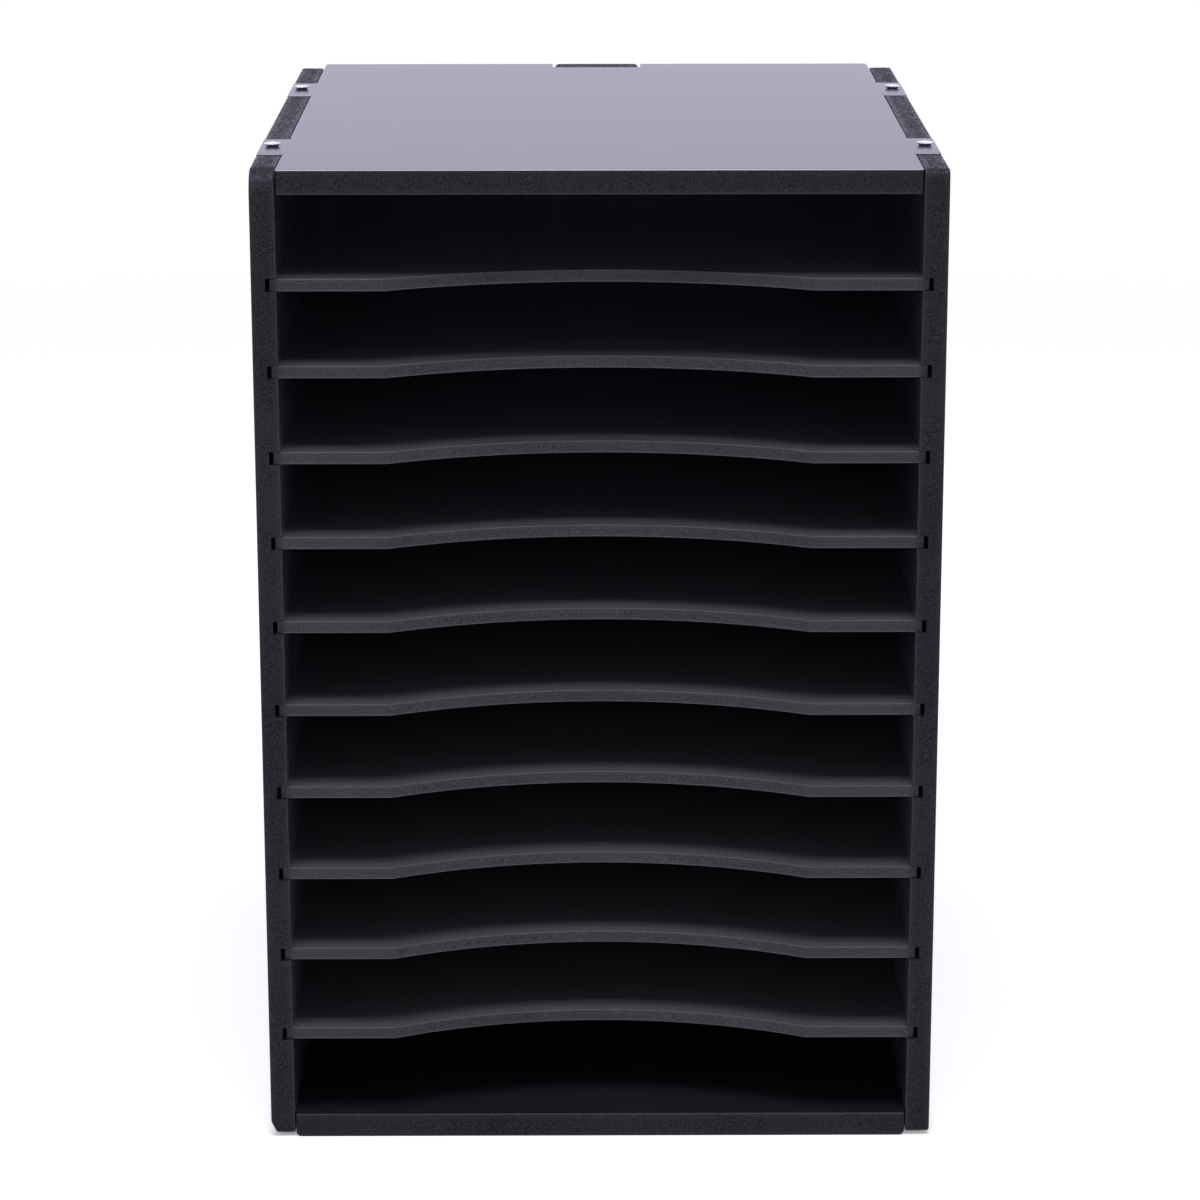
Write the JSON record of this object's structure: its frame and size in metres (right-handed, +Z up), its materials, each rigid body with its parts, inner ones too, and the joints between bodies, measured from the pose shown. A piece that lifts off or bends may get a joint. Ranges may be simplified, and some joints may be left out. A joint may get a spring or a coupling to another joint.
{
  "type": "literature sorter",
  "caption": "Upright black board literature sorter with thin removable shelves that slide in grooves in its side panels, each with a wide finger arc.",
  "frame": {"origin": "middle of the base, on the surface that the sorter stands on", "axes": "+X to the right seen from the front, +Y from the open front to the back panel, +Z up"},
  "size_m": [0.26, 0.303, 0.3858],
  "materials": {
    "black_board": "fibreboard with a smooth satin black laminate on its faces and orange-peel black paint on its edges",
    "black_shelf_board": "thin fibreboard, satin black, painted edges",
    "bright_steel": "bright zinc-plated steel"
  },
  "bodies": {
    "cabinet": {"left_side_panel": "black_board", "right_side_panel": "black_board", "top_panel": "black_board", "bottom_panel": "black_board", "back_panel": "black_board", "top_screw_front_left": "bright_steel", "top_screw_rear_left": "bright_steel", "base_screw_front_left": "bright_steel", "base_screw_rear_left": "bright_steel", "back_screw_lower_left": "bright_steel", "back_screw_middle_left": "bright_steel", "back_screw_upper_left": "bright_steel", "top_screw_front_right": "bright_steel", "top_screw_rear_right": "bright_steel", "base_screw_front_right": "bright_steel", "base_screw_rear_right": "bright_steel", "back_screw_lower_right": "bright_steel", "back_screw_middle_right": "bright_steel", "back_screw_upper_right": "bright_steel"},
    "shelf_01": {"shelf_01": "black_shelf_board"},
    "shelf_02": {"shelf_02": "black_shelf_board"},
    "shelf_03": {"shelf_03": "black_shelf_board"},
    "shelf_04": {"shelf_04": "black_shelf_board"},
    "shelf_05": {"shelf_05": "black_shelf_board"},
    "shelf_06": {"shelf_06": "black_shelf_board"},
    "shelf_07": {"shelf_07": "black_shelf_board"},
    "shelf_08": {"shelf_08": "black_shelf_board"},
    "shelf_09": {"shelf_09": "black_shelf_board"},
    "shelf_10": {"shelf_10": "black_shelf_board"}
  },
  "joints": [
    {"name": "shelf_01_slide", "type": "slide", "parent": "cabinet", "child": "shelf_01", "axis": [0, -1, 0], "range_m": [0, 0.3]},
    {"name": "shelf_02_slide", "type": "slide", "parent": "cabinet", "child": "shelf_02", "axis": [0, -1, 0], "range_m": [0, 0.3]},
    {"name": "shelf_03_slide", "type": "slide", "parent": "cabinet", "child": "shelf_03", "axis": [0, -1, 0], "range_m": [0, 0.3]},
    {"name": "shelf_04_slide", "type": "slide", "parent": "cabinet", "child": "shelf_04", "axis": [0, -1, 0], "range_m": [0, 0.3]},
    {"name": "shelf_05_slide", "type": "slide", "parent": "cabinet", "child": "shelf_05", "axis": [0, -1, 0], "range_m": [0, 0.3]},
    {"name": "shelf_06_slide", "type": "slide", "parent": "cabinet", "child": "shelf_06", "axis": [0, -1, 0], "range_m": [0, 0.3]},
    {"name": "shelf_07_slide", "type": "slide", "parent": "cabinet", "child": "shelf_07", "axis": [0, -1, 0], "range_m": [0, 0.3]},
    {"name": "shelf_08_slide", "type": "slide", "parent": "cabinet", "child": "shelf_08", "axis": [0, -1, 0], "range_m": [0, 0.3]},
    {"name": "shelf_09_slide", "type": "slide", "parent": "cabinet", "child": "shelf_09", "axis": [0, -1, 0], "range_m": [0, 0.3]},
    {"name": "shelf_10_slide", "type": "slide", "parent": "cabinet", "child": "shelf_10", "axis": [0, -1, 0], "range_m": [0, 0.3]}
  ]
}
